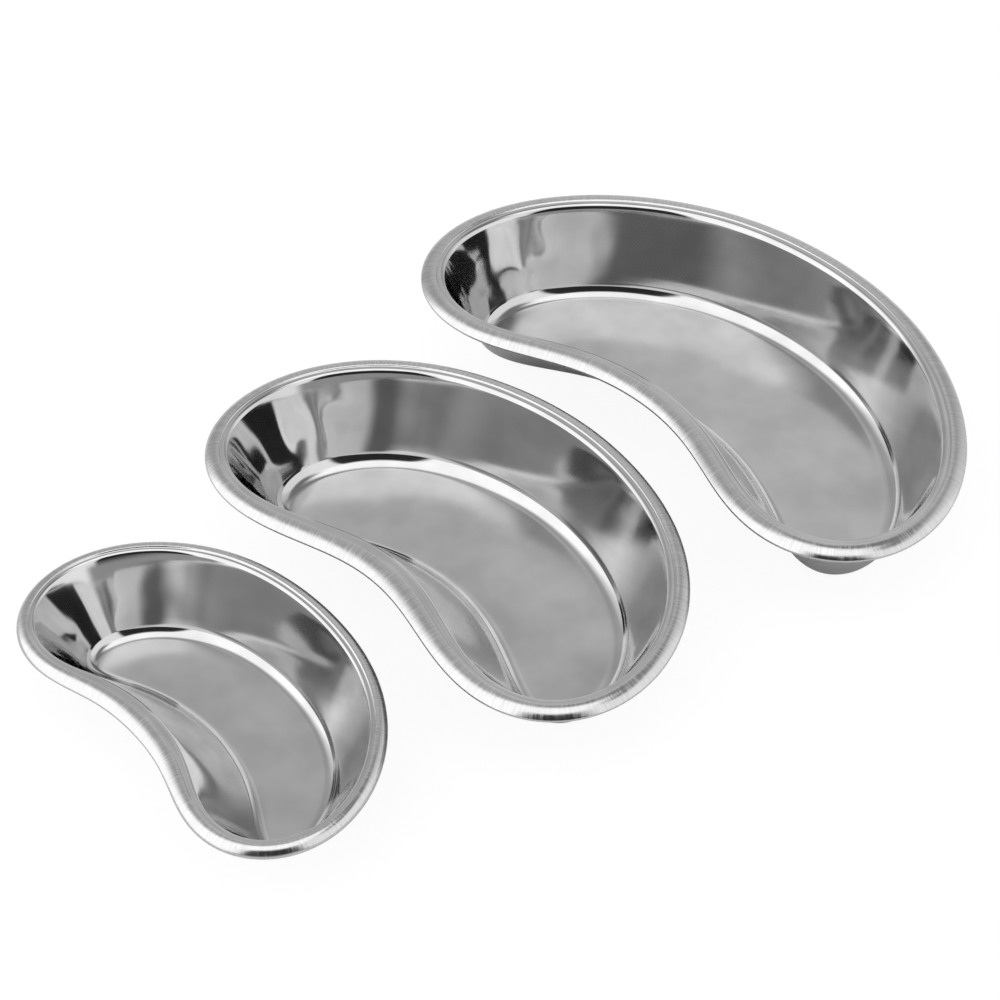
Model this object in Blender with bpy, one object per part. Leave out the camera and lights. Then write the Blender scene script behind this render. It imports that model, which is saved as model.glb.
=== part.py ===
"""Three graduated kidney dishes, each one pressing of thin stainless sheet.

Every dish has a flat base, a rounded foot, a wall that leans outwards, a small
rounded lip, a narrow flat ledge, a shallow groove and a bead that falls away outwards
to an edge rolled under with an open end.  The sheet keeps one thickness from the base to the end of the
roll.  Metres, +Z up.  The concave sides face -Y and the smallest dish is nearest.
"""
import math
from dataclasses import dataclass

import bmesh
import bpy

MM = 0.001

# ---- driving dimensions shared by the set ---------------------------------
SHEET = 0.7 * MM
BEAD_SHARE = 0.70            # width of the bead as a share of the rim width there
BEAD_CROWN = 0.2             # where the bead is highest, as a share of its width
BEAD_RISE = 0.6 * MM         # how far the bead stands above the ledge
RISE_HEIGHT = 1.7 * MM       # half height of the ellipse that the inner side follows
BEAD_DROP = 3.4 * MM         # from the crown down to the centre of the rolled edge
ROLL_RADIUS = 1.2 * MM       # rolled edge, to the outside of the sheet
ROLL_END_DEG = -140.0        # where the roll stops, measured round its centre
GROOVE_REACH = 0.5 * MM      # softening on each side of the groove
GAP_SMALL_MEDIUM = 5.4 * MM
GAP_MEDIUM_LARGE = 1.9 * MM

# ---- fineness ---------------------------------------------------------------
STATIONS = 72                # sections round the outline, a multiple of four
FOOT_STEPS = 3
LIP_STEPS = 2
RISE_STEPS = 2
FALL_STEPS = 3
ROLL_STEPS = 4


@dataclass(frozen=True)
class Dish:
    """Sizes of one dish.  The mouth is measured at the lip, inside the rim."""

    name: str
    mouth_length: float
    mouth_width: float
    height: float
    rim_width: float         # lip to outer edge, all round but at the waist
    waist_rim_width: float   # lip to outer edge at the middle of the waist
    lip_radius: float
    foot_radius: float
    inset_back: float        # base edge to lip, on the convex side
    inset_front: float       # base edge to lip, at the waist
    long_3: float            # outline terms, as shares of the first term
    long_5: float
    cross_2: float
    cross_3: float
    cross_5: float
    shift: float             # sideways place in the row
    turn_deg: float
    roughness: float


SMALL = Dish(
    name="small_dish",
    mouth_length=176.5 * MM,
    mouth_width=96.0 * MM,
    height=37.0 * MM,
    rim_width=7.8 * MM,
    waist_rim_width=12.4 * MM,
    lip_radius=2.0 * MM,
    foot_radius=7.0 * MM,
    inset_back=20.5 * MM,
    inset_front=29.0 * MM,
    long_3=-0.081,
    long_5=0.031,
    cross_2=0.235,
    cross_3=-0.210,
    cross_5=0.029,
    shift=-16.9 * MM,
    turn_deg=-3.3,
    roughness=0.20,
)
MEDIUM = Dish(
    name="medium_dish",
    mouth_length=230.9 * MM,
    mouth_width=127.8 * MM,
    height=45.0 * MM,
    rim_width=10.2 * MM,
    waist_rim_width=15.2 * MM,
    lip_radius=2.5 * MM,
    foot_radius=9.0 * MM,
    inset_back=22.5 * MM,
    inset_front=36.0 * MM,
    long_3=-0.100,
    long_5=0.014,
    cross_2=0.238,
    cross_3=-0.197,
    cross_5=0.020,
    shift=-6.7 * MM,
    turn_deg=-0.2,
    roughness=0.22,
)
LARGE = Dish(
    name="large_dish",
    mouth_length=275.2 * MM,
    mouth_width=145.7 * MM,
    height=47.0 * MM,
    rim_width=12.0 * MM,
    waist_rim_width=13.2 * MM,
    lip_radius=3.0 * MM,
    foot_radius=8.0 * MM,
    inset_back=20.0 * MM,
    inset_front=34.0 * MM,
    long_3=-0.078,
    long_5=0.026,
    cross_2=0.302,
    cross_3=-0.205,
    cross_5=0.025,
    shift=0.0,
    turn_deg=-0.1,
    roughness=0.24,
)

STEEL_GREY = (0.62, 0.62, 0.63, 1.0)


def unit(x, y):
    length = math.hypot(x, y)
    return x / length, y / length


def outline_terms(dish):
    """Harmonic amplitudes scaled so that the lip spans the mouth length and width."""
    long_terms = {1: 1.0, 3: dish.long_3, 5: dish.long_5}
    cross_terms = {1: 1.0, 2: dish.cross_2, 3: dish.cross_3, 5: dish.cross_5}
    fine = [2.0 * math.pi * i / 720 for i in range(720)]
    xs = [sum(a * math.sin(k * t) for k, a in long_terms.items()) for t in fine]
    ys = [sum(b * math.cos(k * t) for k, b in cross_terms.items()) for t in fine]
    long_scale = dish.mouth_length / (max(xs) - min(xs))
    cross_scale = dish.mouth_width / (max(ys) - min(ys))
    long_terms = {k: a * long_scale for k, a in long_terms.items()}
    cross_terms = {k: b * cross_scale for k, b in cross_terms.items()}
    return long_terms, cross_terms


def outline_frame(terms, t):
    """Point on the lip and the outward direction there.  t runs from the back."""
    long_terms, cross_terms = terms
    x = sum(a * math.sin(k * t) for k, a in long_terms.items())
    y = sum(b * math.cos(k * t) for k, b in cross_terms.items())
    dx = sum(k * a * math.cos(k * t) for k, a in long_terms.items())
    dy = sum(-k * b * math.sin(k * t) for k, b in cross_terms.items())
    ux, uy = unit(dx, dy)
    return x, y, -uy, ux


def base_inset(dish, t):
    """How far the base edge lies inside the lip: more at the waist than elsewhere."""
    waist = ((1.0 - math.cos(t)) / 2.0) ** 3
    return dish.inset_back + (dish.inset_front - dish.inset_back) * waist


def rim_at(dish, t):
    """Width of the rim, which the drawn sheet leaves wider in the bend of the waist."""
    waist = ((1.0 - math.cos(t)) / 2.0) ** 6
    return dish.rim_width + (dish.waist_rim_width - dish.rim_width) * waist


def arc(centre, across, up, start, stop, steps):
    points = []
    for i in range(steps + 1):
        angle = start + (stop - start) * i / steps
        points.append((centre[0] + across * math.cos(angle), centre[1] + up * math.sin(angle)))
    return points


def wall_lean(foot_centre, lip_centre, radii):
    """Lean from upright of the straight wall that touches the foot and lip arcs."""
    across = lip_centre[0] - foot_centre[0]
    up = lip_centre[1] - foot_centre[1]
    return math.acos(radii / math.hypot(across, up)) - math.atan2(up, across)


def upper_side(dish, inset, rim):
    """The side of the sheet that faces up and inwards, from base edge to roll end."""
    ledge = dish.height - BEAD_RISE
    foot_centre = (-inset, SHEET + dish.foot_radius)
    lip_centre = (dish.lip_radius, ledge - dish.lip_radius)
    lean = wall_lean(foot_centre, lip_centre, dish.foot_radius + dish.lip_radius)
    foot = arc(foot_centre, dish.foot_radius, dish.foot_radius,
               -math.pi / 2.0, -lean, FOOT_STEPS)
    lip = arc(lip_centre, dish.lip_radius, dish.lip_radius,
              math.pi - lean, math.pi / 2.0, LIP_STEPS)
    rise_reach = BEAD_CROWN * BEAD_SHARE * rim
    crown = rim - BEAD_SHARE * rim + rise_reach
    meet = math.pi - math.asin(1.0 - BEAD_RISE / RISE_HEIGHT)
    groove = [(crown + rise_reach * math.cos(meet) - GROOVE_REACH, ledge)]
    rise = arc((crown, dish.height - RISE_HEIGHT), rise_reach, RISE_HEIGHT,
               meet - GROOVE_REACH / RISE_HEIGHT, math.pi / 2.0, RISE_STEPS)
    across = rim - ROLL_RADIUS - crown
    fall_radius = ((across ** 2 + BEAD_DROP ** 2 - ROLL_RADIUS ** 2)
                   / (2.0 * (BEAD_DROP - ROLL_RADIUS)))
    handover = math.atan2(fall_radius - BEAD_DROP, across)
    fall = arc((crown, dish.height - fall_radius), fall_radius, fall_radius,
               math.pi / 2.0, handover, FALL_STEPS)
    roll = arc((rim - ROLL_RADIUS, dish.height - BEAD_DROP), ROLL_RADIUS, ROLL_RADIUS,
               handover, math.radians(ROLL_END_DEG), ROLL_STEPS)
    return foot + lip + groove + rise + fall[1:] + roll[1:]


def lower_side(upper):
    """The other side of the sheet, one thickness behind the first."""
    points = []
    last = len(upper) - 1
    for i, (across, up) in enumerate(upper):
        before = upper[max(i - 1, 0)]
        after = upper[min(i + 1, last)]
        ax, ay = unit(across - before[0], up - before[1]) if i > 0 else (1.0, 0.0)
        bx, by = unit(after[0] - across, after[1] - up) if i < last else (ax, ay)
        nx, ny = unit(ay + by, -(ax + bx))
        stretch = SHEET / max(nx * ay - ny * ax, 0.5)
        points.append((across + nx * stretch, up + ny * stretch))
    return points


def section_loop(dish, t):
    upper = upper_side(dish, base_inset(dish, t), rim_at(dish, t))
    return upper + lower_side(upper)[::-1]


def add_base(bm, ring, upwards):
    """Close a ring of stations with strips that run from the back to the front."""
    half = len(ring) // 2
    quarter = half // 2
    for side in (1, -1):
        for i in range(quarter):
            corners = [
                ring[(side * i) % len(ring)],
                ring[(side * (i + 1)) % len(ring)],
                ring[(side * (half - i - 1)) % len(ring)],
                ring[(side * (half - i)) % len(ring)],
            ]
            corners = list(dict.fromkeys(corners))
            if (side > 0) == upwards:
                corners.reverse()
            bm.faces.new(corners)


def dish_mesh(dish):
    """Sweep the section round the outline, in the dish's own place about its centre."""
    terms = outline_terms(dish)
    bm = bmesh.new()
    rings = []
    for i in range(STATIONS):
        t = 2.0 * math.pi * i / STATIONS
        x, y, nx, ny = outline_frame(terms, t)
        loop = section_loop(dish, t)
        rings.append([bm.verts.new((x + nx * o, y + ny * o, z)) for o, z in loop])
    count = len(rings[0])
    for i in range(STATIONS):
        this = rings[i]
        other = rings[(i + 1) % STATIONS]
        for j in range(count - 1):
            bm.faces.new((this[j], this[j + 1], other[j + 1], other[j]))
    add_base(bm, [ring[0] for ring in rings], True)
    add_base(bm, [ring[-1] for ring in rings], False)
    bmesh.ops.recalc_face_normals(bm, faces=bm.faces)
    return bm


def turned(x, y, degrees):
    c = math.cos(math.radians(degrees))
    s = math.sin(math.radians(degrees))
    return x * c - y * s, x * s + y * c


def outer_span(dish):
    """Extent of the turned rim: low and high along x, low and high along y."""
    terms = outline_terms(dish)
    xs = []
    ys = []
    for i in range(720):
        t = 2.0 * math.pi * i / 720
        x, y, nx, ny = outline_frame(terms, t)
        rim = rim_at(dish, t)
        x, y = turned(x + nx * rim, y + ny * rim, dish.turn_deg)
        xs.append(x)
        ys.append(y)
    return min(xs), max(xs), min(ys), max(ys)


def places():
    """Centres of the dishes: a column along y with stated gaps, centred as a set."""
    gaps = {SMALL.name: 0.0, MEDIUM.name: GAP_SMALL_MEDIUM, LARGE.name: GAP_MEDIUM_LARGE}
    edge = 0.0
    centres = {}
    lows = []
    highs = []
    for dish in (SMALL, MEDIUM, LARGE):
        low_x, high_x, low_y, high_y = outer_span(dish)
        edge += gaps[dish.name]
        centres[dish.name] = [dish.shift, edge - low_y]
        edge += high_y - low_y
        lows.append(dish.shift + low_x)
        highs.append(dish.shift + high_x)
    middle_x = (min(lows) + max(highs)) / 2.0
    for centre in centres.values():
        centre[0] -= middle_x
        centre[1] -= edge / 2.0
    return centres


def steel(name, roughness):
    material = bpy.data.materials.new(name)
    material.use_nodes = True
    shader = material.node_tree.nodes["Principled BSDF"]
    shader.inputs["Base Color"].default_value = STEEL_GREY
    shader.inputs["Metallic"].default_value = 1.0
    shader.inputs["Roughness"].default_value = roughness
    return material


def add_dish(dish, centre):
    bm = dish_mesh(dish)
    for vert in bm.verts:
        x, y = turned(vert.co.x, vert.co.y, dish.turn_deg)
        vert.co.x = x + centre[0]
        vert.co.y = y + centre[1]
    mesh = bpy.data.meshes.new(dish.name)
    bm.to_mesh(mesh)
    bm.free()
    mesh.shade_smooth()
    mesh.set_sharp_from_angle(angle=math.radians(50.0))
    mesh.materials.append(steel(dish.name + "_steel", dish.roughness))
    bpy.context.scene.collection.objects.link(bpy.data.objects.new(dish.name, mesh))


def main():
    for old in list(bpy.data.objects):
        bpy.data.objects.remove(old)
    centres = places()
    for dish in (SMALL, MEDIUM, LARGE):
        add_dish(dish, centres[dish.name])


main()
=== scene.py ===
import math

import bmesh
import bpy
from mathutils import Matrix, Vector


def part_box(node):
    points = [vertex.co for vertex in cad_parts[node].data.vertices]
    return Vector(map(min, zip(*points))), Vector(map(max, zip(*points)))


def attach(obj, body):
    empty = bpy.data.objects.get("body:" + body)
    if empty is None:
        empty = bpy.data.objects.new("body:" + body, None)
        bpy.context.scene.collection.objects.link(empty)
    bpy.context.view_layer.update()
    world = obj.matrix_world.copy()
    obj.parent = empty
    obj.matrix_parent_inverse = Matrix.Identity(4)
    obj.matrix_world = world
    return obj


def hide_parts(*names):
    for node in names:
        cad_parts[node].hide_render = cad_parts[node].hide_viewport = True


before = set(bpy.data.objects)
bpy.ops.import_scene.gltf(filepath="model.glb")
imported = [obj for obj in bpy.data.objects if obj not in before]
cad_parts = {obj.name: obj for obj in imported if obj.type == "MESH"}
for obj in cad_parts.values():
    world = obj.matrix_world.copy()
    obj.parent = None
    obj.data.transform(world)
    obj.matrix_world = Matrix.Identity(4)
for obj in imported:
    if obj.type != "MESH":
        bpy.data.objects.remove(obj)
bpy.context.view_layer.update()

MM = 0.001

# ---- the sheet and its rim, shared by the three sizes -------------------------
SHEET = 0.7 * MM
BEAD_SHARE = 0.70              # width of the bead as a share of the rim there
BEAD_CROWN = 0.2               # where the bead is highest, as a share of its width
BEAD_RISE = 0.6 * MM           # crown above the ledge
RISE_HEIGHT = 1.7 * MM         # half height of the ellipse that the bead rises on
BEAD_DROP = 3.4 * MM           # crown to the centre of the rolled edge
ROLL_RADIUS = 1.2 * MM
ROLL_END_DEG = -140.0          # the roll ends open, under the rim
GROOVE_REACH = 0.5 * MM        # length of ledge that the soft groove takes up
WITHIN = 0.06 * MM             # the smooth rim stays this far inside the faceted one
UNDER = 0.05 * MM              # the sweep lies this far under the dishes

SPINE_REACH = 38.0 * MM        # unrolled length kept for the flat of the base
BASE_MARGIN = 2.0 * MM         # flat ring between the base's strips and its foot
WAIST_POWER = 3.0              # how closely the wall's extra lean keeps to the waist
WIDE_POWER = 6.0               # the same for the rim's extra width
TIP_POWER = 4.0                # and for the puckers at the two tips
MERGE_DISTANCE = 0.01 * MM
MITRE_LIMIT = 0.5              # the sheet is never more than twice as thick at a bend
SHARP_DEG = 50.0               # only the cut edge of the sheet turns more than this

# slow waves left by pressing and polishing, and puckers where the sheet was gathered
WAVES = {"Wave Depth": 0.25 * MM, "Wave Length": 60.0 * MM,
         "Pucker Depth": 0.9 * MM, "Pucker Length": 15.0 * MM}
WAVE_STRETCH = (1.0, 1.0, 0.6)
GIVE_FROM = 0.3                # height where the wall starts to give, in foot radii

STATIONS = 320                 # places round the outline
OUTLINE_SAMPLES = 720
FOOT_STEPS = 16
WALL_STEPS = 10
LIP_STEPS = 8
LEDGE_STEPS = 4
GROOVE_STEPS = 8
RISE_STEPS = 8
FALL_STEPS = 14
ROLL_STEPS = 18
BEAD_STEPS = RISE_STEPS + FALL_STEPS + ROLL_STEPS

# pairs are long and cross for the mouth, back and waist for the rim and the inset;
# long and cross are the shares of the waves that the outline is a sum of
DISHES = {
    "small_dish": dict(
        mouth=(176.5 * MM, 96.0 * MM), height=37.0 * MM, foot=7.0 * MM,
        rim=(7.8 * MM, 12.4 * MM), lip=2.0 * MM,
        inset=(20.5 * MM, 29.0 * MM), long=(1.0, -0.081, 0.031),
        cross=(1.0, 0.235, -0.210, 0.029), turn=-3.3, seed=1.0,
    ),
    "medium_dish": dict(
        mouth=(230.9 * MM, 127.8 * MM), height=45.0 * MM, foot=9.0 * MM,
        rim=(10.2 * MM, 15.2 * MM), lip=2.5 * MM,
        inset=(22.5 * MM, 36.0 * MM), long=(1.0, -0.100, 0.014),
        cross=(1.0, 0.238, -0.197, 0.020), turn=-0.2, seed=2.0,
    ),
    "large_dish": dict(
        mouth=(275.2 * MM, 145.7 * MM), height=47.0 * MM, foot=8.0 * MM,
        rim=(12.0 * MM, 13.2 * MM), lip=3.0 * MM,
        inset=(20.0 * MM, 34.0 * MM), long=(1.0, -0.078, 0.026),
        cross=(1.0, 0.302, -0.205, 0.025), turn=-0.1, seed=3.0,
    ),
}
LONG_WAVES = (1, 3, 5)
CROSS_WAVES = (1, 2, 3, 5)
LONG_NAMES = ["Long %d" % k for k in LONG_WAVES]
CROSS_NAMES = ["Cross %d" % k for k in CROSS_WAVES]


def srgb(code):
    """Linear colour from a hex code such as 'c8c8c8'."""
    parts = [int(code[i:i + 2], 16) / 255.0 for i in (0, 2, 4)]
    linear = [p / 12.92 if p <= 0.04045 else ((p + 0.055) / 1.055) ** 2.4 for p in parts]
    return (*linear, 1.0)


def add(tree, kind, links=None, **settings):
    """Adds one node with its settings, and fills or links its inputs.

    A Mix node's own inputs go by number: 2 and 3 are floats, 4 and 5 vectors, 6 and 7
    colours.
    """
    node = tree.nodes.new(kind)
    for key, value in settings.items():
        setattr(node, key, value)
    for key, value in (links or {}).items():
        if isinstance(value, bpy.types.NodeSocket):
            tree.links.new(value, node.inputs[key])
        else:
            node.inputs[key].default_value = value
    return node


# ---- the section of the sheet: (outward from the lip, up) ----------------------
def arc(centre, across, up, start, stop, steps):
    turns = [start + (stop - start) * i / steps for i in range(steps + 1)]
    return [(centre[0] + across * math.cos(a), centre[1] + up * math.sin(a)) for a in turns]


def straight(a, b, steps):
    """The points between a and b, without either."""
    return [
        (a[0] + (b[0] - a[0]) * i / steps, a[1] + (b[1] - a[1]) * i / steps)
        for i in range(1, steps)
    ]


def soft_corner(a, corner, b, steps):
    points = []
    for i in range(steps + 1):
        u = i / steps
        points.append(tuple(
            (1 - u) ** 2 * a[k] + 2 * u * (1 - u) * corner[k] + u * u * b[k] for k in (0, 1)
        ))
    return points


def bead(height, rim):
    """The bead's rise out of the groove, its long fall outward and its rolled edge."""
    rise_reach = BEAD_CROWN * BEAD_SHARE * rim
    crown = rim - BEAD_SHARE * rim + rise_reach
    meet = math.pi - math.asin(1.0 - BEAD_RISE / RISE_HEIGHT)
    corner = (crown + rise_reach * math.cos(meet), height - BEAD_RISE)
    rise = arc((crown, height - RISE_HEIGHT), rise_reach, RISE_HEIGHT,
               meet - GROOVE_REACH / RISE_HEIGHT, math.pi / 2, RISE_STEPS)
    across = rim - ROLL_RADIUS - crown
    fall_radius = ((across ** 2 + BEAD_DROP ** 2 - ROLL_RADIUS ** 2)
                   / (2.0 * (BEAD_DROP - ROLL_RADIUS)))
    handover = math.atan2(fall_radius - BEAD_DROP, across)
    fall = arc((crown, height - fall_radius), fall_radius, fall_radius,
               math.pi / 2, handover, FALL_STEPS)
    roll = arc((rim - ROLL_RADIUS, height - BEAD_DROP), ROLL_RADIUS, ROLL_RADIUS,
               handover, math.radians(ROLL_END_DEG), ROLL_STEPS)
    return corner, rise + fall[1:] + roll[1:]


def upper_side(dish, inset, rim):
    """Inner side of the sheet, from the edge of the base to the end of the roll."""
    ledge = dish["height"] - BEAD_RISE
    lip_radius = dish["lip"]
    foot_centre = (-inset, SHEET + dish["foot"])
    lip_centre = (lip_radius, ledge - lip_radius)
    across = lip_centre[0] - foot_centre[0]
    up = lip_centre[1] - foot_centre[1]
    lean = (math.acos((dish["foot"] + lip_radius) / math.hypot(across, up))
            - math.atan2(up, across))
    foot = arc(foot_centre, dish["foot"], dish["foot"], -math.pi / 2, -lean, FOOT_STEPS)
    lip = arc(lip_centre, lip_radius, lip_radius, math.pi - lean, math.pi / 2, LIP_STEPS)
    corner, rolled = bead(dish["height"], rim)
    groove = soft_corner((corner[0] - GROOVE_REACH, ledge), corner, rolled[0], GROOVE_STEPS)
    return (foot + straight(foot[-1], lip[0], WALL_STEPS) + lip
            + straight(lip[-1], groove[0], LEDGE_STEPS) + groove[:-1] + rolled)


def unit(x, y):
    length = math.hypot(x, y)
    return x / length, y / length


def lower_side(upper):
    """The other side of the sheet, one thickness away all along."""
    points = []
    last = len(upper) - 1
    for i, (across, up) in enumerate(upper):
        before = upper[max(i - 1, 0)]
        after = upper[min(i + 1, last)]
        ax, ay = unit(across - before[0], up - before[1]) if i > 0 else (1.0, 0.0)
        bx, by = unit(after[0] - across, after[1] - up) if i < last else (ax, ay)
        nx, ny = unit(ay + by, -(ax + bx))
        stretch = SHEET / max(nx * ay - ny * ax, MITRE_LIMIT)
        points.append((across + nx * stretch, up + ny * stretch))
    return points


def section(dish, inset, rim):
    """Both sides of the sheet; the doubled ends are drawn to the base's spine later."""
    upper = upper_side(dish, inset, rim - WITHIN)
    lower = lower_side(upper)[::-1]
    top = (upper[0][0] - BASE_MARGIN, upper[0][1])
    bottom = (top[0], lower[-1][1])
    return [top, top] + upper + lower + [bottom, bottom]


def profile_mesh(name, dish):
    """The section at the back, with what the waist adds to it as attributes."""
    back = section(dish, dish["inset"][0], dish["rim"][0])
    waist = section(dish, dish["inset"][1], dish["rim"][0])
    wide = section(dish, dish["inset"][0], dish["rim"][1])
    last = len(back) - 1
    added = [
        [c for (o, z), (p, q) in zip(other, back) for c in (o - p, 0.0, z - q)]
        for other in (waist, wide)
    ]
    along = [0.0]
    for i in range(1, last + 1):
        step = math.hypot(back[i][0] - back[i - 1][0], back[i][1] - back[i - 1][1])
        along.append(along[-1] + (step if 1 < i < last else SPINE_REACH))
    # the wall gives between the top of the foot and the underside of the rim
    low, high = GIVE_FROM * dish["foot"], dish["height"] - BEAD_DROP
    give = [math.sin(math.pi * min(max((z - low) / (high - low), 0.0), 1.0)) ** 2
            if o < dish["lip"] else 0.0 for o, z in back]
    first_bead = len(back) // 2 - BEAD_STEPS - 1
    on_bead = [float(first_bead <= i <= last - first_bead) for i in range(last + 1)]
    on_spine = [float(i in (0, last)) for i in range(last + 1)]
    mesh = bpy.data.meshes.new(name)
    mesh.from_pydata([(o, 0.0, z) for o, z in back], [(i, i + 1) for i in range(last)], [])
    for attribute, kind, field, numbers in (
            ("waist", "FLOAT_VECTOR", "vector", added[0]),
            ("wide", "FLOAT_VECTOR", "vector", added[1]),
            ("along", "FLOAT", "value", along),
            ("on_bead", "FLOAT", "value", on_bead),
            ("give", "FLOAT", "value", give),
            ("spine", "FLOAT", "value", on_spine)):
        mesh.attributes.new(attribute, kind, "POINT").data.foreach_set(field, numbers)
    return mesh


# ---- the outline of the mouth: a sum of a few sines and cosines ------------------
def outline_point(long_terms, cross_terms, t):
    x = sum(a * math.sin(k * t) for k, a in zip(LONG_WAVES, long_terms))
    y = sum(b * math.cos(k * t) for k, b in zip(CROSS_WAVES, cross_terms))
    return x, y


def amplitudes(dish):
    """The waves' shares, scaled so that the mouth has its two sizes."""
    turns = [2.0 * math.pi * i / OUTLINE_SAMPLES for i in range(OUTLINE_SAMPLES)]
    xs, ys = zip(*(outline_point(dish["long"], dish["cross"], t) for t in turns))
    long_scale = dish["mouth"][0] / (max(xs) - min(xs))
    cross_scale = dish["mouth"][1] / (max(ys) - min(ys))
    return [a * long_scale for a in dish["long"]], [b * cross_scale for b in dish["cross"]]


def place_of(name, dish, long_terms, cross_terms):
    """Centre that puts the turned rim over the CAD node's own box."""
    c = math.cos(math.radians(dish["turn"]))
    s = math.sin(math.radians(dish["turn"]))
    xs, ys = [], []
    for i in range(2 * OUTLINE_SAMPLES):
        t = math.pi * i / OUTLINE_SAMPLES
        x, y = outline_point(long_terms, cross_terms, t)
        dx = sum(k * a * math.cos(k * t) for k, a in zip(LONG_WAVES, long_terms))
        dy = sum(-k * b * math.sin(k * t) for k, b in zip(CROSS_WAVES, cross_terms))
        along_x, along_y = unit(dx, dy)
        waist = ((1.0 - math.cos(t)) / 2.0) ** WIDE_POWER
        rim = dish["rim"][0] + (dish["rim"][1] - dish["rim"][0]) * waist
        x -= along_y * rim
        y += along_x * rim
        xs.append(x * c - y * s)
        ys.append(x * s + y * c)
    low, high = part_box(name)
    return ((low[0] + high[0] - min(xs) - max(xs)) / 2.0,
            (low[1] + high[1] - min(ys) - max(ys)) / 2.0)


# ---- the sweep, as node trees --------------------------------------------------
def sweep_place_tree():
    """Where a section point lies at one angle round the outline."""
    tree = bpy.data.node_groups.new("Place round the outline", "GeometryNodeTree")
    sockets = [("Angle", "NodeSocketFloat"), ("Back Section", "NodeSocketVector"),
               ("Waist Section", "NodeSocketVector"), ("Wide Section", "NodeSocketVector"),
               ("Give", "NodeSocketFloat"), ("Seed", "NodeSocketFloat")]
    sockets += [(name, "NodeSocketFloat") for name in [*WAVES, *LONG_NAMES, *CROSS_NAMES]]
    for name, kind in sockets:
        tree.interface.new_socket(name, in_out="INPUT", socket_type=kind)
    tree.interface.new_socket("Position", in_out="OUTPUT", socket_type="NodeSocketVector")
    given = add(tree, "NodeGroupInput").outputs
    angle = given["Angle"]

    # the lip's own place there, and the outline's slope, term by term
    place = {}
    slope = {}
    for axis, waves, wave, turn_wave, sign in (("Long", LONG_WAVES, "SINE", "COSINE", 1.0),
                                               ("Cross", CROSS_WAVES, "COSINE", "SINE", -1.0)):
        place[axis] = slope[axis] = 0.0
        for k in waves:
            turn = add(tree, "ShaderNodeMath", {0: angle, 1: float(k)}, operation="MULTIPLY")
            swing = add(tree, "ShaderNodeMath", {0: turn.outputs[0]}, operation=wave)
            lean = add(tree, "ShaderNodeMath", {0: turn.outputs[0]}, operation=turn_wave)
            size = given["%s %d" % (axis, k)]
            place[axis] = add(tree, "ShaderNodeMath",
                              {0: swing.outputs[0], 1: size, 2: place[axis]},
                              operation="MULTIPLY_ADD").outputs[0]
            steep = add(tree, "ShaderNodeMath", {0: size, 1: sign * k}, operation="MULTIPLY")
            slope[axis] = add(tree, "ShaderNodeMath",
                              {0: lean.outputs[0], 1: steep.outputs[0], 2: slope[axis]},
                              operation="MULTIPLY_ADD").outputs[0]
    back = add(tree, "ShaderNodeMath", {0: slope["Cross"], 1: -1.0}, operation="MULTIPLY")
    square_on = add(tree, "ShaderNodeCombineXYZ", {"X": back.outputs[0], "Y": slope["Long"]})
    outward = add(tree, "ShaderNodeVectorMath", {0: square_on.outputs[0]},
                  operation="NORMALIZE")

    # the section there: the back's, and more and more of what the waist adds
    cosine = add(tree, "ShaderNodeMath", {0: angle}, operation="COSINE")
    half = add(tree, "ShaderNodeMath", {0: cosine.outputs[0], 1: -0.5, 2: 0.5},
               operation="MULTIPLY_ADD")
    point = given["Back Section"]
    for part, power in (("Waist Section", WAIST_POWER), ("Wide Section", WIDE_POWER)):
        share = add(tree, "ShaderNodeMath", {0: half.outputs[0], 1: power}, operation="POWER")
        more = add(tree, "ShaderNodeVectorMath",
                   {0: given[part], "Scale": share.outputs[0]}, operation="SCALE")
        point = add(tree, "ShaderNodeVectorMath", {0: point, 1: more.outputs[0]},
                    operation="ADD").outputs[0]
    point = add(tree, "ShaderNodeSeparateXYZ", {0: point})
    lip = add(tree, "ShaderNodeCombineXYZ",
              {"X": place["Long"], "Y": place["Cross"], "Z": point.outputs["Z"]})

    # slow waves all round, and short puckers where the sheet was gathered at the tips
    reach = point.outputs["X"]
    sine = add(tree, "ShaderNodeMath", {0: angle}, operation="SINE").outputs[0]
    square = add(tree, "ShaderNodeMath", {0: sine, 1: sine}, operation="MULTIPLY").outputs[0]
    tips = add(tree, "ShaderNodeMath", {0: square, 1: TIP_POWER}, operation="POWER").outputs[0]
    stretched = add(tree, "ShaderNodeVectorMath", {0: lip.outputs[0], 1: WAVE_STRETCH},
                    operation="MULTIPLY")
    for part, share in (("Wave", 1.0), ("Pucker", tips)):
        fine = add(tree, "ShaderNodeMath", {0: 1.0, 1: given[part + " Length"]},
                   operation="DIVIDE")
        noise = add(tree, "ShaderNodeTexNoise",
                    {"Vector": stretched.outputs[0], "W": given["Seed"],
                     "Scale": fine.outputs[0], "Detail": 0.0}, noise_dimensions="4D")
        swing = add(tree, "ShaderNodeMath", {0: noise.outputs[0], 1: 2.0, 2: -1.0},
                    operation="MULTIPLY_ADD")
        most = add(tree, "ShaderNodeMath", {0: given[part + " Depth"], 1: given["Give"]},
                   operation="MULTIPLY")
        depth = add(tree, "ShaderNodeMath", {0: most.outputs[0], 1: share},
                    operation="MULTIPLY")
        reach = add(tree, "ShaderNodeMath",
                    {0: swing.outputs[0], 1: depth.outputs[0], 2: reach},
                    operation="MULTIPLY_ADD").outputs[0]
    moved = add(tree, "ShaderNodeVectorMath", {0: outward.outputs[0], "Scale": reach},
                operation="SCALE")
    out = add(tree, "ShaderNodeVectorMath", {0: lip.outputs[0], 1: moved.outputs[0]},
              operation="ADD")
    add(tree, "NodeGroupOutput", {"Position": out.outputs[0]})
    return tree


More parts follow.
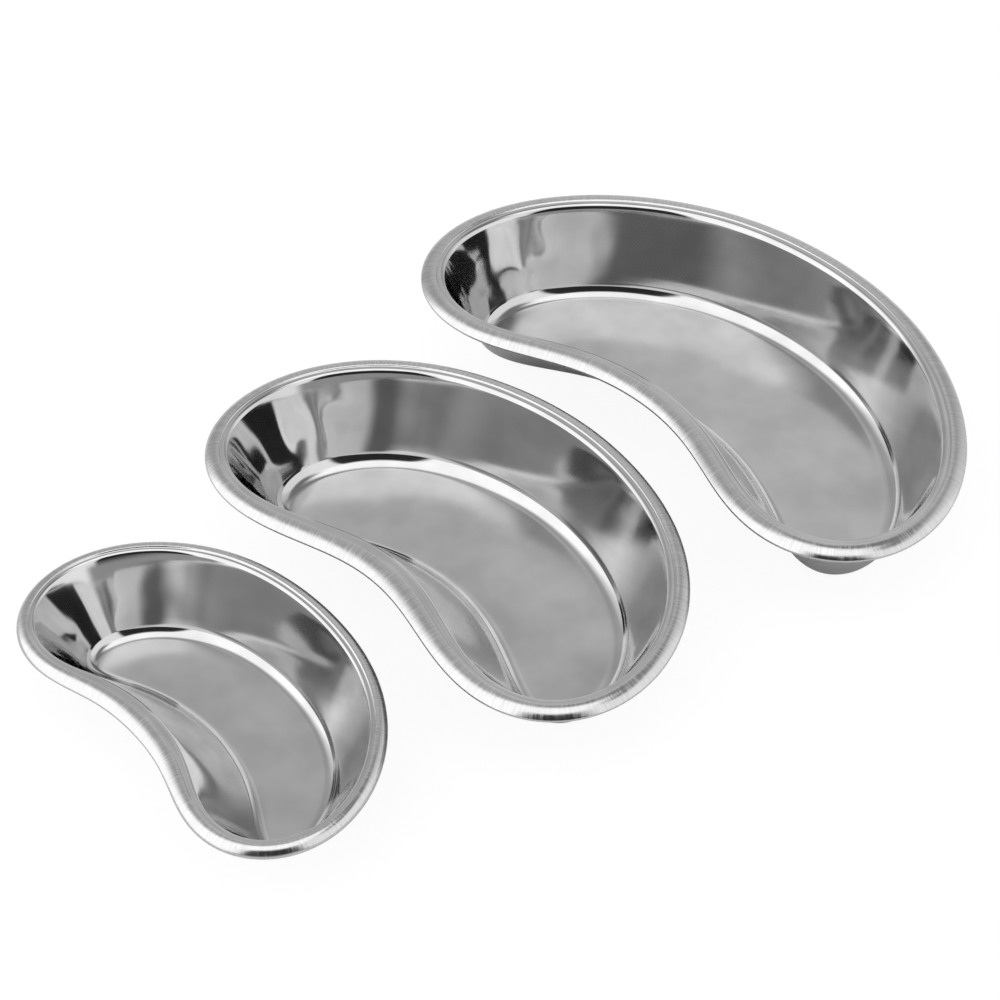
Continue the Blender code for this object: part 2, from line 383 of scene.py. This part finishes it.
def pressed_dish_tree(place_tree):
    """Sweeps the section round the outline and closes the base along its spine."""
    tree = bpy.data.node_groups.new("Pressed kidney dish", "GeometryNodeTree")
    tree.interface.new_socket("Geometry", in_out="INPUT", socket_type="NodeSocketGeometry")
    tree.interface.new_socket("Stations", in_out="INPUT", socket_type="NodeSocketInt")
    for name in [*LONG_NAMES, *CROSS_NAMES, "Turn", "Place X", "Place Y", "Seed", *WAVES]:
        tree.interface.new_socket(name, in_out="INPUT", socket_type="NodeSocketFloat")
    for name in ("Bowl Steel", "Rim Steel"):
        tree.interface.new_socket(name, in_out="INPUT", socket_type="NodeSocketMaterial")
    tree.interface.new_socket("Geometry", in_out="OUTPUT", socket_type="NodeSocketGeometry")
    given = add(tree, "NodeGroupInput").outputs
    profile = given["Geometry"]

    # a grid with a column for each station and a row for each point of the section
    count = add(tree, "GeometryNodeAttributeDomainSize", {0: profile}).outputs["Point Count"]
    columns = add(tree, "ShaderNodeMath", {0: given["Stations"], 1: 1.0}, operation="ADD")
    grid = add(tree, "GeometryNodeMeshGrid",
               {"Vertices X": columns.outputs[0], "Vertices Y": count})
    index = add(tree, "GeometryNodeInputIndex").outputs[0]
    column = add(tree, "FunctionNodeIntegerMath", {0: index, 1: count},
                 operation="DIVIDE_FLOOR").outputs[0]
    row = add(tree, "FunctionNodeIntegerMath", {0: index, 1: count},
              operation="MODULO").outputs[0]
    step = add(tree, "ShaderNodeMath", {0: 2.0 * math.pi, 1: given["Stations"]},
               operation="DIVIDE")
    angle = add(tree, "ShaderNodeMath", {0: column, 1: step.outputs[0]},
                operation="MULTIPLY").outputs[0]
    opposite = add(tree, "ShaderNodeMath", {0: math.pi, 1: angle}, operation="SUBTRACT")
    read = {}
    for name, kind in (("position", "FLOAT_VECTOR"), ("waist", "FLOAT_VECTOR"),
                       ("wide", "FLOAT_VECTOR"), ("along", "FLOAT"), ("spine", "FLOAT"),
                       ("on_bead", "FLOAT"), ("give", "FLOAT")):
        if name == "position":
            source = add(tree, "GeometryNodeInputPosition").outputs[0]
        else:
            source = add(tree, "GeometryNodeInputNamedAttribute", {"Name": name},
                         data_type=kind).outputs["Attribute"]
        read[name] = add(tree, "GeometryNodeSampleIndex",
                         {"Geometry": profile, "Value": source, "Index": row},
                         data_type=kind).outputs["Value"]

    # a point of the spine lies midway between the two sides of the base
    sides = []
    for turn in (angle, opposite.outputs[0]):
        links = {"Angle": turn, "Back Section": read["position"],
                 "Waist Section": read["waist"], "Wide Section": read["wide"],
                 "Give": read["give"]}
        links.update({name: given[name] for name in ["Seed", *WAVES, *LONG_NAMES, *CROSS_NAMES]})
        sides.append(add(tree, "GeometryNodeGroup", links, node_tree=place_tree).outputs[0])
    middle = add(tree, "ShaderNodeMix", {"Factor": 0.5, 4: sides[0], 5: sides[1]},
                 data_type="VECTOR")
    point = add(tree, "ShaderNodeMix",
                {"Factor": read["spine"], 4: sides[0], 5: middle.outputs[1]},
                data_type="VECTOR")
    shaped = add(tree, "GeometryNodeSetPosition",
                 {"Geometry": grid.outputs["Mesh"], "Position": point.outputs[1]})

    # unrolled sheet in metres, along the outline and along the section: kept on the
    # points first, because a corner can't be numbered by column and row
    round_it = add(tree, "ShaderNodeMath", {0: angle, 1: given["Long 1"]},
                   operation="MULTIPLY")
    unrolled = add(tree, "ShaderNodeCombineXYZ",
                   {"X": round_it.outputs[0], "Y": read["along"]})
    laid = add(tree, "GeometryNodeStoreNamedAttribute",
               {"Geometry": shaped.outputs[0], "Name": "laid_out",
                "Value": unrolled.outputs[0]},
               data_type="FLOAT_VECTOR", domain="POINT")
    at_point = add(tree, "GeometryNodeInputNamedAttribute", {"Name": "laid_out"},
                   data_type="FLOAT_VECTOR")
    mapped = add(tree, "GeometryNodeStoreNamedAttribute",
                 {"Geometry": laid.outputs[0], "Name": "unrolled",
                  "Value": at_point.outputs["Attribute"]},
                 data_type="FLOAT2", domain="CORNER")
    cleared = add(tree, "GeometryNodeRemoveAttribute",
                  {"Geometry": mapped.outputs[0], "Name": "laid_out"})
    on_rim = add(tree, "FunctionNodeCompare", {0: read["on_bead"], 1: 0.5},
                 data_type="FLOAT", operation="GREATER_THAN")
    marked = add(tree, "GeometryNodeStoreNamedAttribute",
                 {"Geometry": cleared.outputs[0], "Name": "on_rim",
                  "Value": on_rim.outputs[0]}, data_type="BOOLEAN", domain="POINT")

    # one closed skin, in its place, in its two steels
    closed = add(tree, "GeometryNodeMergeByDistance",
                 {"Geometry": marked.outputs[0], "Distance": MERGE_DISTANCE})
    smooth = add(tree, "GeometryNodeSetShadeSmooth", {"Geometry": closed.outputs[0]})
    turn = add(tree, "ShaderNodeCombineXYZ", {"Z": given["Turn"]})
    centre = add(tree, "ShaderNodeCombineXYZ", {"X": given["Place X"], "Y": given["Place Y"]})
    placed = add(tree, "GeometryNodeTransform",
                 {"Geometry": smooth.outputs[0], "Translation": centre.outputs[0],
                  "Rotation": turn.outputs[0]})
    real = add(tree, "GeometryNodeRealizeInstances", {0: placed.outputs[0]})
    bowl = add(tree, "GeometryNodeSetMaterial",
               {"Geometry": real.outputs[0], "Material": given["Bowl Steel"]})
    rolled = add(tree, "GeometryNodeInputNamedAttribute", {"Name": "on_rim"},
                 data_type="BOOLEAN")
    rim = add(tree, "GeometryNodeSetMaterial",
              {"Geometry": bowl.outputs[0], "Selection": rolled.outputs["Attribute"],
               "Material": given["Rim Steel"]})
    add(tree, "NodeGroupOutput", {0: rim.outputs[0]})
    return tree


def make_dish(name, dish, tree, bowl_steel, rim_steel):
    carrier = bpy.data.objects.new(name + "_sheet", profile_mesh(name + "_section", dish))
    bpy.context.scene.collection.objects.link(carrier)
    modifier = carrier.modifiers.new("press", "NODES")
    modifier.node_group = tree
    long_terms, cross_terms = amplitudes(dish)
    x, y = place_of(name, dish, long_terms, cross_terms)
    values = {"Stations": STATIONS, "Turn": math.radians(dish["turn"]),
              "Place X": x, "Place Y": y, "Seed": dish["seed"],
              "Bowl Steel": bowl_steel, "Rim Steel": rim_steel, **WAVES}
    values.update(zip(LONG_NAMES, long_terms))
    values.update(zip(CROSS_NAMES, cross_terms))
    for item in tree.interface.items_tree:
        if item.item_type == "SOCKET" and item.in_out == "INPUT" and item.name in values:
            modifier[item.identifier] = values[item.name]
    depsgraph = bpy.context.evaluated_depsgraph_get()
    mesh = bpy.data.meshes.new_from_object(carrier.evaluated_get(depsgraph))
    mesh.name = name + "_skin"
    bpy.data.objects.remove(carrier)
    piece = bpy.data.objects.new(name + "_skin", mesh)
    bpy.context.scene.collection.objects.link(piece)
    work = bmesh.new()
    work.from_mesh(mesh)
    bmesh.ops.recalc_face_normals(work, faces=work.faces)
    work.to_mesh(mesh)
    work.free()
    mesh.set_sharp_from_angle(angle=math.radians(SHARP_DEG))
    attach(piece, name)
    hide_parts(name)


# ---- finishes --------------------------------------------------------------------
# roughness, from the brightest to the dullest spot of each finish
DRAWN_WALL = (0.05, 0.10)
PRESSED_BASE = (0.13, 0.19)
BRUSHED_BEAD = (0.17, 0.30)
RUBBED_BEAD = 0.16
BASE_FADE = (-1.0 * MM, 7.0 * MM)    # satin to bright, from the edge of the foot's curve

# grain of each pattern in mm, and how deep and how strong the ones with relief are
CLOUD_MM = 22.0
SPRUNG_MM = 55.0
SPRUNG_DEPTH = 2.2 * MM
RUB_MM = 1.2
RUB_DEPTH = 0.02 * MM
RUB_STRENGTH = 0.12
HATCH_MM = 0.9                 # grit lines are nearer 0.1 mm apart: coarser, so they show
HATCH_DEPTH = 0.12 * MM
HATCH_STRENGTH = 0.25
BLOTCH_MM = 7.0
EVEN = (1.0, 1.0, 1.0)         # a smaller number draws the grain out along that axis
RUB_STRETCH = (1.0, 0.12, 1.0)
HATCH_STRETCH = (1.0, 0.05, 1.0)
BLOTCH_STRETCH = (1.0, 0.4, 1.0)
FINE = dict(detail=3.0, roughness=0.7)

# how much of a noise turns into light and dark: a wider pair is softer
SOFT = (0.25, 0.75)
FIRM = (0.30, 0.70)
HARD = (0.35, 0.65)


def grain(tree, place, scale, size_mm, detail=2.0, roughness=0.5):
    """Noise whose grain is size_mm across, stretched by scale along each axis."""
    stretched = add(tree, "ShaderNodeMapping", {"Vector": place, "Scale": scale})
    noise = add(tree, "ShaderNodeTexNoise",
                {"Vector": stretched.outputs[0], "Scale": 1.0 / (size_mm * MM),
                 "Detail": detail, "Roughness": roughness})
    return noise.outputs[0]


def steel(name):
    material = bpy.data.materials.new(name)
    material.use_nodes = True
    tree = material.node_tree
    shader = tree.nodes["Principled BSDF"]
    shader.inputs["Metallic"].default_value = 1.0
    return material, tree, shader


def polished_bowl():
    """Bright 304 stainless: mirror-like drawn wall, satin base where the die pressed it."""
    material, tree, shader = steel("polished_304_bowl")
    place = add(tree, "ShaderNodeTexCoord").outputs["Object"]
    unrolled = add(tree, "ShaderNodeUVMap", uv_map="unrolled").outputs[0]
    along = add(tree, "ShaderNodeSeparateXYZ", {0: unrolled}).outputs["Y"]
    edge = SPINE_REACH + BASE_MARGIN
    wall = add(tree, "ShaderNodeMapRange",
               {"Value": along, "From Min": edge + BASE_FADE[0], "From Max": edge + BASE_FADE[1]},
               interpolation_type="SMOOTHSTEP").outputs["Result"]
    cloud = grain(tree, place, EVEN, CLOUD_MM)
    tint = add(tree, "ShaderNodeMapRange",
               {"Value": cloud, "From Min": SOFT[0], "From Max": SOFT[1]},
               interpolation_type="SMOOTHSTEP").outputs["Result"]
    tone = add(tree, "ShaderNodeMix", {"Factor": tint, 6: srgb("c6c6c6"), 7: srgb("d4d4d4")},
               data_type="RGBA")
    tree.links.new(tone.outputs[2], shader.inputs["Base Color"])
    satin = add(tree, "ShaderNodeMix", {"Factor": cloud, 2: PRESSED_BASE[0], 3: PRESSED_BASE[1]})
    bright = add(tree, "ShaderNodeMix", {"Factor": cloud, 2: DRAWN_WALL[0], 3: DRAWN_WALL[1]})
    worn = add(tree, "ShaderNodeMix",
               {"Factor": wall, 2: satin.outputs[0], 3: bright.outputs[0]})
    tree.links.new(worn.outputs[0], shader.inputs["Roughness"])
    # the flat has sprung a little after pressing, and holds fine rub marks
    sprung = grain(tree, place, EVEN, SPRUNG_MM, detail=0.0)
    rubs = grain(tree, place, RUB_STRETCH, RUB_MM, **FINE)
    flat = add(tree, "ShaderNodeMath", {0: 1.0, 1: wall}, operation="SUBTRACT").outputs[0]
    bowed = add(tree, "ShaderNodeBump",
                {"Strength": flat, "Distance": SPRUNG_DEPTH, "Height": sprung})
    marked = add(tree, "ShaderNodeBump",
                 {"Strength": RUB_STRENGTH, "Distance": RUB_DEPTH, "Height": rubs,
                  "Normal": bowed.outputs[0]})
    tree.links.new(marked.outputs[0], shader.inputs["Normal"])
    return material


def brushed_rim():
    """Rolled 304 bead, brushed across with fine grit: a soft broad shine along the rim."""
    material, tree, shader = steel("brushed_304_rim")
    unrolled = add(tree, "ShaderNodeUVMap", uv_map="unrolled").outputs[0]
    hatch = grain(tree, unrolled, HATCH_STRETCH, HATCH_MM, **FINE)
    blotch = grain(tree, unrolled, BLOTCH_STRETCH, BLOTCH_MM)
    tint = add(tree, "ShaderNodeMapRange",
               {"Value": hatch, "From Min": FIRM[0], "From Max": FIRM[1]},
               interpolation_type="SMOOTHSTEP").outputs["Result"]
    tone = add(tree, "ShaderNodeMix", {"Factor": tint, 6: srgb("c9c9c9"), 7: srgb("d8d8d8")},
               data_type="RGBA")
    tree.links.new(tone.outputs[2], shader.inputs["Base Color"])
    scored, kept = [
        add(tree, "ShaderNodeMapRange",
            {"Value": noise, "From Min": HARD[0], "From Max": HARD[1]},
            interpolation_type="SMOOTHSTEP").outputs["Result"]
        for noise in (hatch, blotch)
    ]
    brushed = add(tree, "ShaderNodeMix",
                  {"Factor": scored, 2: BRUSHED_BEAD[0], 3: BRUSHED_BEAD[1]})
    worn = add(tree, "ShaderNodeMix", {"Factor": kept, 2: RUBBED_BEAD, 3: brushed.outputs[0]})
    tree.links.new(worn.outputs[0], shader.inputs["Roughness"])
    brushing = add(tree, "ShaderNodeBump",
                   {"Strength": HATCH_STRENGTH, "Distance": HATCH_DEPTH, "Height": hatch})
    tree.links.new(brushing.outputs[0], shader.inputs["Normal"])
    return material


# ---- studio ----------------------------------------------------------------------
VIEW_TURN = 45.0               # degrees round to the right, from looking along +Y
VIEW_RISE = 46.18
VIEW_DISTANCE = 1.0605
VIEW_TARGET = (-0.02826, 0.01605, 0.0)
LENS_MM = 80.6
SENSOR_MM = 36.0

# brightness of the room's walls, by degrees from the camera's side round to its right
ROOM = (
    (-180, 0.60), (-166, 0.56), (-150, 0.45), (-140, 0.48), (-132, 0.50), (-125, 0.75),
    (-116, 1.05), (-108, 1.55), (-31, 1.55), (-27, 0.03), (31, 0.03), (35, 1.15),
    (108, 1.10), (116, 0.85), (130, 0.75), (140, 0.55), (150, 0.42), (158, 0.58),
    (170, 0.70), (180, 0.60),
)
BRIGHTEST = 1.6
CEILING = 1.50
CEILING_DEG = (58.0, 70.0)     # the walls turn into the ceiling between these
FAR_WALL_DEG = 8.0             # how much higher they reach on the far side
FAR_SIDE = (-0.1, -0.3)        # where that side begins, from 1 at the camera's to -1
LOW_FRONT = 0.40               # what stands low on the camera's own side
LOW_FRONT_DEG = (6.0, 9.0)
LOW_FRONT_SIDE = (0.70, 0.80)
GAP = 0.24                     # dark gap between the far right walls and the ceiling
GAP_TOWARDS = 127.0            # degrees, as for the walls
GAP_SPREAD = (0.42, 0.80)      # cosine of the turn away from there
GAP_FROM_DEG = (48.0, 57.0)
GAP_TO_DEG = (73.0, 64.0)

SWEEP_HALF = 6.0
SWEEP_GLOW = 1.08
SWEEP_GLOW_SHARE = 0.85


def studio():
    """Plain soft room round the dishes, from a table of its walls."""
    scene = bpy.context.scene
    scene.view_settings.view_transform = "Standard"
    world = bpy.data.worlds.new("studio")
    world.use_nodes = True
    scene.world = world
    tree = world.node_tree
    look = add(tree, "ShaderNodeTexCoord").outputs["Generated"]
    turned = add(tree, "ShaderNodeMapping",
                 {"Vector": look, "Rotation": (0.0, 0.0, math.radians(VIEW_TURN))})
    part = add(tree, "ShaderNodeSeparateXYZ", {0: turned.outputs[0]}).outputs
    round_room = add(tree, "ShaderNodeMath", {0: part["Y"], 1: part["X"]}, operation="ARCTAN2")
    share = add(tree, "ShaderNodeMath",
                {0: round_room.outputs[0], 1: 0.5 / math.pi, 2: 0.5}, operation="MULTIPLY_ADD")
    ramp = add(tree, "ShaderNodeValToRGB", {0: share.outputs[0]})
    stops = ramp.color_ramp.elements
    for i, (degrees, level) in enumerate(ROOM):
        spot = (degrees + 180.0) / 360.0
        stop = stops[0] if i == 0 else stops[-1] if i == len(ROOM) - 1 else stops.new(spot)
        stop.position = spot
        stop.color = (level / BRIGHTEST,) * 3 + (1.0,)

    rise = add(tree, "ShaderNodeMath", {0: part["Z"]}, operation="ARCSINE").outputs[0]
    lowered = add(tree, "ShaderNodeMath", {0: rise, 1: math.radians(FAR_WALL_DEG)},
                  operation="SUBTRACT")
    flat = add(tree, "ShaderNodeVectorMath", {0: turned.outputs[0], 1: (1.0, 1.0, 0.0)},
               operation="MULTIPLY")
    level = add(tree, "ShaderNodeVectorMath", {0: flat.outputs[0]}, operation="NORMALIZE")
    aim = math.radians(GAP_TOWARDS)
    near = add(tree, "ShaderNodeVectorMath",
               {0: level.outputs[0], 1: (math.cos(aim), math.sin(aim), 0.0)},
               operation="DOT_PRODUCT").outputs["Value"]
    eased = {}
    for name, value, (low, high) in (
            ("far", part["X"], FAR_SIDE),
            ("near", near, GAP_SPREAD),
            ("above", rise, [math.radians(d) for d in GAP_FROM_DEG]),
            ("below", rise, [math.radians(d) for d in GAP_TO_DEG]),
            ("facing", part["X"], LOW_FRONT_SIDE)):
        eased[name] = add(tree, "ShaderNodeMapRange",
                          {"Value": value, "From Min": low, "From Max": high},
                          interpolation_type="SMOOTHSTEP").outputs["Result"]
    height = add(tree, "ShaderNodeMix", {"Factor": eased["far"], 2: rise, 3: lowered.outputs[0]})
    overhead = add(tree, "ShaderNodeMapRange",
                   {"Value": height.outputs[0], "From Min": math.radians(CEILING_DEG[0]),
                    "From Max": math.radians(CEILING_DEG[1])},
                   interpolation_type="SMOOTHSTEP")
    band = add(tree, "ShaderNodeMath", {0: eased["above"], 1: eased["below"]},
               operation="MULTIPLY")
    gap = add(tree, "ShaderNodeMath", {0: band.outputs[0], 1: eased["near"]},
              operation="MULTIPLY")
    low_down = add(tree, "ShaderNodeMapRange",
                   {"Value": rise, "From Min": math.radians(LOW_FRONT_DEG[0]),
                    "From Max": math.radians(LOW_FRONT_DEG[1]), "To Min": 1.0, "To Max": 0.0})
    front = add(tree, "ShaderNodeMath", {0: eased["facing"], 1: low_down.outputs[0]},
                operation="MULTIPLY")
    lit = ramp.outputs["Color"]
    for cover, brightness in ((overhead.outputs["Result"], CEILING), (gap.outputs[0], GAP),
                              (front.outputs[0], LOW_FRONT)):
        lit = add(tree, "ShaderNodeMix",
                  {"Factor": cover, 2: lit, 3: brightness / BRIGHTEST}).outputs[0]
    back = tree.nodes["Background"]
    tree.links.new(lit, back.inputs["Color"])
    back.inputs["Strength"].default_value = BRIGHTEST


def floor():
    """Matt white sweep that glows towards the camera, so it shows next to no shadow."""
    corners = [(-1, -1), (1, -1), (1, 1), (-1, 1)]
    mesh = bpy.data.meshes.new("floor")
    mesh.from_pydata([(x * SWEEP_HALF, y * SWEEP_HALF, -UNDER) for x, y in corners],
                     [], [(0, 1, 2, 3)])
    sweep = bpy.data.objects.new("floor", mesh)
    bpy.context.scene.collection.objects.link(sweep)
    paint = bpy.data.materials.new("white_sweep")
    paint.use_nodes = True
    tree = paint.node_tree
    board = tree.nodes["Principled BSDF"]
    board.inputs["Base Color"].default_value = srgb("e6e6e6")
    board.inputs["Roughness"].default_value = 0.9
    glow = add(tree, "ShaderNodeEmission", {"Color": (1, 1, 1, 1), "Strength": SWEEP_GLOW})
    seen = add(tree, "ShaderNodeLightPath").outputs["Is Camera Ray"]
    share = add(tree, "ShaderNodeMath", {0: seen, 1: SWEEP_GLOW_SHARE}, operation="MULTIPLY")
    both = add(tree, "ShaderNodeMixShader",
               {0: share.outputs[0], 1: board.outputs[0], 2: glow.outputs[0]})
    tree.links.new(both.outputs[0], tree.nodes["Material Output"].inputs["Surface"])
    mesh.materials.append(paint)


def camera():
    scene = bpy.context.scene
    data = bpy.data.cameras.new("camera")
    data.lens = LENS_MM
    data.sensor_width = SENSOR_MM
    rise = math.radians(VIEW_RISE)
    turn = math.radians(VIEW_TURN)
    back = Vector((math.sin(turn) * math.cos(rise), -math.cos(turn) * math.cos(rise),
                   math.sin(rise)))
    obj = bpy.data.objects.new("camera", data)
    obj.location = Vector(VIEW_TARGET) + back * VIEW_DISTANCE
    obj.rotation_euler = back.to_track_quat("Z", "Y").to_euler()
    scene.collection.objects.link(obj)
    scene.camera = obj


bowl_steel = polished_bowl()
rim_steel = brushed_rim()
tree = pressed_dish_tree(sweep_place_tree())
for name, dish in DISHES.items():
    make_dish(name, dish, tree, bowl_steel, rim_steel)
floor()
studio()
camera()
